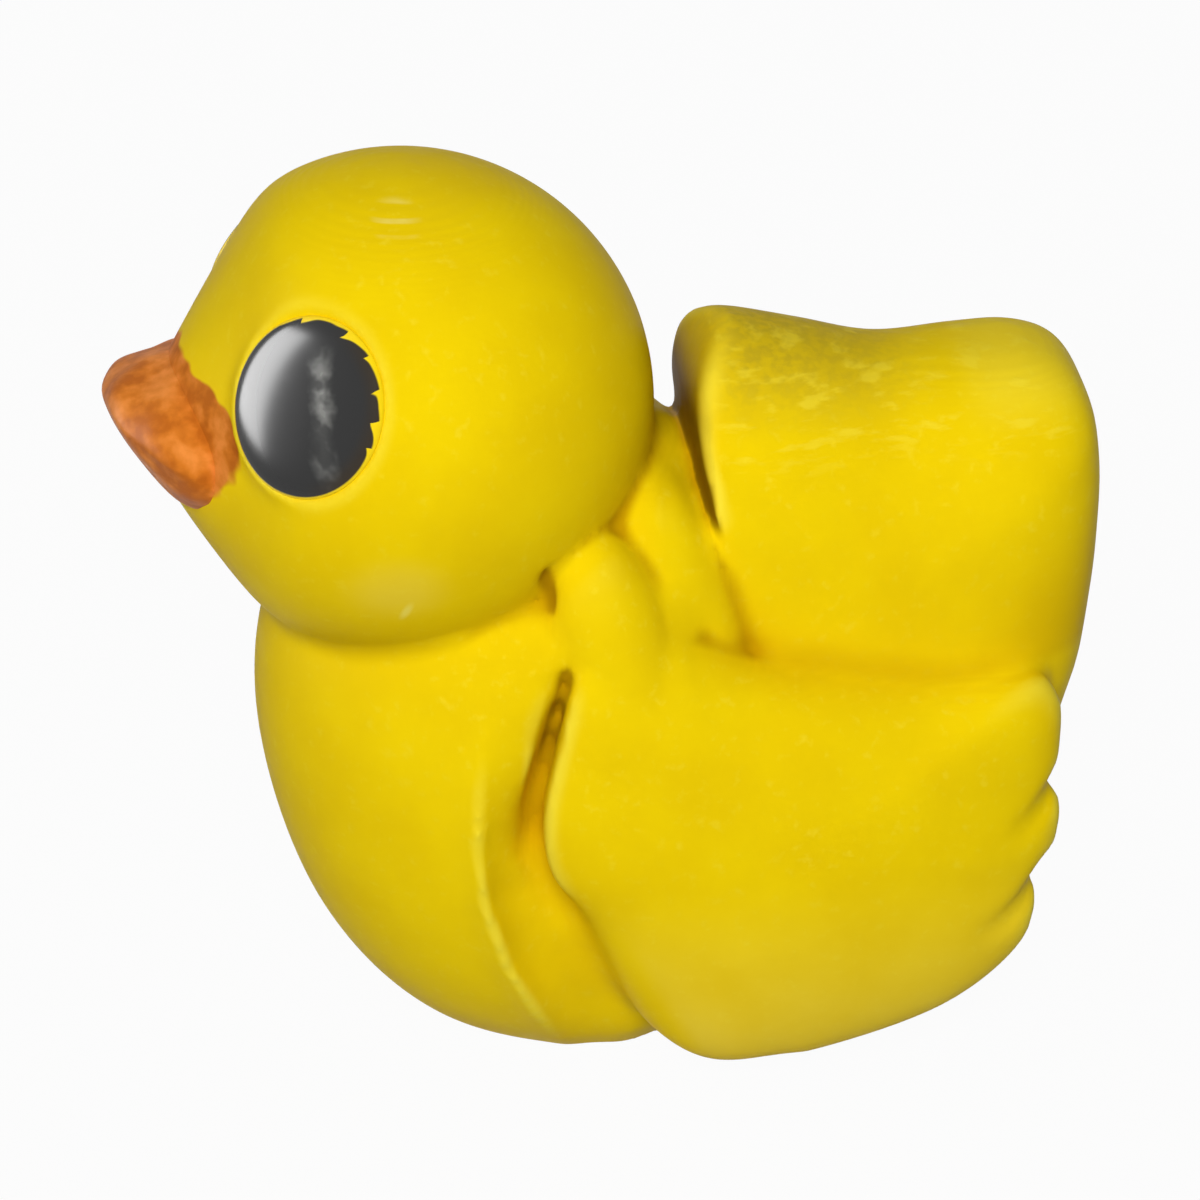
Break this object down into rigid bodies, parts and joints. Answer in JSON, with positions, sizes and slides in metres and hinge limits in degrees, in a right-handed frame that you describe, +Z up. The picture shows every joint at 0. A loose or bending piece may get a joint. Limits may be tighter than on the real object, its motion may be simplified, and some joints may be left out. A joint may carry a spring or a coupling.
{
  "type": "toy duck",
  "caption": "Small soft squeezable toy duck that stands on a flat base, with a round head, folded wings, a tall blunt tail, an orange beak and glossy black eyes.",
  "frame": {"origin": "middle of the flat base, on the surface that the duck stands on", "axes": "+Z up, the duck faces -X, its left side is towards -Y"},
  "size_m": [0.0336, 0.0174, 0.0327],
  "materials": {
    "yellow_rubber": "semi-matte, with fine level lines",
    "orange_beak": "mottled hand-painted orange, satin",
    "black_eye": "gloss black"
  },
  "bodies": {
    "root": {"duck_body": "yellow_rubber", "beak": "orange_beak", "left_eye": "black_eye", "right_eye": "black_eye"}
  },
  "joints": []
}
